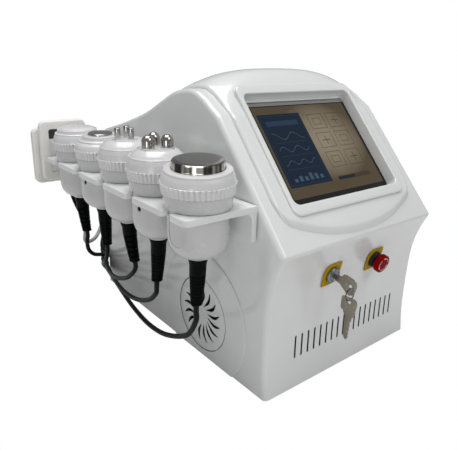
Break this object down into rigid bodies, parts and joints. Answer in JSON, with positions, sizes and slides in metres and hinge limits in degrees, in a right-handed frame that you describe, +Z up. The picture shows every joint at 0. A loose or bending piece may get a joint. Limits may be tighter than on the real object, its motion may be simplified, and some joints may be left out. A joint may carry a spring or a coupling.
{
  "type": "cavitation slimming machine",
  "caption": "Desktop cavitation slimming machine: white console with sloped touch screen, key switch, emergency stop, side fan and a side shelf of handpieces on leads",
  "frame": {"origin": "bottom centre of the box round everything but the six leads", "axes": "+X to the machine's right, +Y to its back, +Z up"},
  "size_m": [0.457, 0.5872, 0.4408],
  "materials": {
    "black_plastic": "black",
    "black_rubber": "black rubber",
    "board_green": "green circuit board",
    "chrome": "polished",
    "dark_glass": "dark glossy glass",
    "display": "lit display panel",
    "grey_rubber": "light grey cord sheath",
    "ivory_plastic": "warm ivory plastic",
    "key_metal": "tarnished nickel-plated brass",
    "red_plastic": "red, slightly glossy",
    "steel": "satin sheet and turned steel",
    "white_cap": "glossy white ABS",
    "white_shelf": "satin white, a little cooler than the housing",
    "white_shell": "satin gloss white ABS",
    "yellow_plate": "yellow print on thin plate"
  },
  "bodies": {
    "machine": {"housing": "white_shell", "screen_surround": "white_shell", "screen_bezel": "white_shell", "screen_glass": "dark_glass", "display_module": "display", "fan_grille": "white_shell", "fan_frame": "black_plastic", "estop_plate": "yellow_plate", "estop_body": "black_plastic", "key_plate": "yellow_plate", "lock_body": "chrome", "base_plate": "steel", "foot_front_left": "black_rubber", "foot_rear_left": "black_rubber", "foot_front_right": "black_rubber", "foot_rear_right": "black_rubber", "rear_panel": "white_shell", "power_inlet": "black_plastic", "switch_frame": "black_plastic", "power_supply": "steel", "control_board": "board_green", "holder_shelf": "white_shelf", "lead1": "black_rubber", "lead2": "black_rubber", "lead3": "black_rubber", "lead4": "black_rubber", "lead5": "black_rubber", "lead6": "grey_rubber"},
    "estop_stem_link": {"estop_stem": "black_plastic"},
    "estop_head_link": {"estop_head": "red_plastic"},
    "lock_link": {"lock_cylinder": "steel"},
    "key_link": {"key": "key_metal"},
    "ring_link": {"key_ring": "steel"},
    "spare_link": {"spare_key": "key_metal"},
    "rotor_link": {"fan_rotor": "black_plastic"},
    "rocker_link": {"power_switch": "black_plastic"},
    "hand1_link": {"hand1_body": "white_shell", "hand1_cap": "white_cap", "hand1_head": "chrome", "hand1_relief": "black_rubber"},
    "hand2_link": {"hand2_body": "white_shell", "hand2_cap": "white_cap", "hand2_head": "chrome", "hand2_relief": "black_rubber"},
    "hand3_link": {"hand3_body": "white_shell", "hand3_cap": "white_cap", "hand3_head": "chrome", "hand3_relief": "black_rubber"},
    "hand4_link": {"hand4_body": "white_shell", "hand4_cap": "white_cap", "hand4_head": "chrome", "hand4_relief": "black_rubber"},
    "hand5_link": {"hand5_body": "white_shell", "hand5_cap": "white_cap", "hand5_head": "white_cap", "hand5_relief": "black_rubber"},
    "hand6_link": {"hand6_face": "ivory_plastic", "hand6_window": "dark_glass", "hand6_body": "ivory_plastic", "hand6_relief": "black_rubber"}
  },
  "joints": [
    {"name": "estop_push", "type": "slide", "parent": "machine", "child": "estop_stem_link", "axis": [0, 0.9813, 0.1926], "range_m": [0, 0.003], "stiffness_N_per_m": 500, "springref_m": -0.004},
    {"name": "estop_twist", "type": "hinge", "parent": "estop_stem_link", "child": "estop_head_link", "pos_m": [0.112, -0.2412, 0.1675], "axis": [0, 0.9813, 0.1926], "range_deg": [0, 45], "stiffness_Nm_per_rad": 0.02},
    {"name": "lock_turn", "type": "hinge", "parent": "machine", "child": "lock_link", "pos_m": [0.015, -0.2412, 0.1675], "axis": [0, 0.9813, 0.1926], "range_deg": [0, 90]},
    {"name": "key_withdraw", "type": "slide", "parent": "lock_link", "child": "key_link", "axis": [0, -0.9813, -0.1926], "range_m": [0, 0.022]},
    {"name": "ring_swing", "type": "hinge", "parent": "key_link", "child": "ring_link", "pos_m": [0.015, -0.27584, 0.1588], "axis": [1, 0, 0], "range_deg": [-60, 12]},
    {"name": "spare_swing", "type": "hinge", "parent": "ring_link", "child": "spare_link", "pos_m": [0.015, -0.27584, 0.1404], "axis": [1, 0, 0], "range_deg": [-25, 6]},
    {"name": "fan_spin", "type": "hinge", "parent": "machine", "child": "rotor_link", "pos_m": [-0.0972, -0.09341, 0.076], "axis": [1, 0, 0], "continuous": true},
    {"name": "mains_rocker", "type": "hinge", "parent": "machine", "child": "rocker_link", "pos_m": [0.1635, 0.229, 0.109], "axis": [1, 0, 0], "range_deg": [0, 14]},
    {"name": "hand1_lift", "type": "slide", "parent": "machine", "child": "hand1_link", "axis": [0, 0, 1], "range_m": [0, 0.145], "deforming": ["lead1"]},
    {"name": "hand2_lift", "type": "slide", "parent": "machine", "child": "hand2_link", "axis": [0, 0, 1], "range_m": [0, 0.145], "deforming": ["lead2"]},
    {"name": "hand3_lift", "type": "slide", "parent": "machine", "child": "hand3_link", "axis": [0, 0, 1], "range_m": [0, 0.145], "deforming": ["lead3"]},
    {"name": "hand4_lift", "type": "slide", "parent": "machine", "child": "hand4_link", "axis": [0, 0, 1], "range_m": [0, 0.145], "deforming": ["lead4"]},
    {"name": "hand5_lift", "type": "slide", "parent": "machine", "child": "hand5_link", "axis": [0, 0, 1], "range_m": [0, 0.145], "deforming": ["lead5"]},
    {"name": "hand6_lift", "type": "slide", "parent": "machine", "child": "hand6_link", "axis": [0, 0, 1], "range_m": [0, 0.13], "deforming": ["lead6"]}
  ]
}
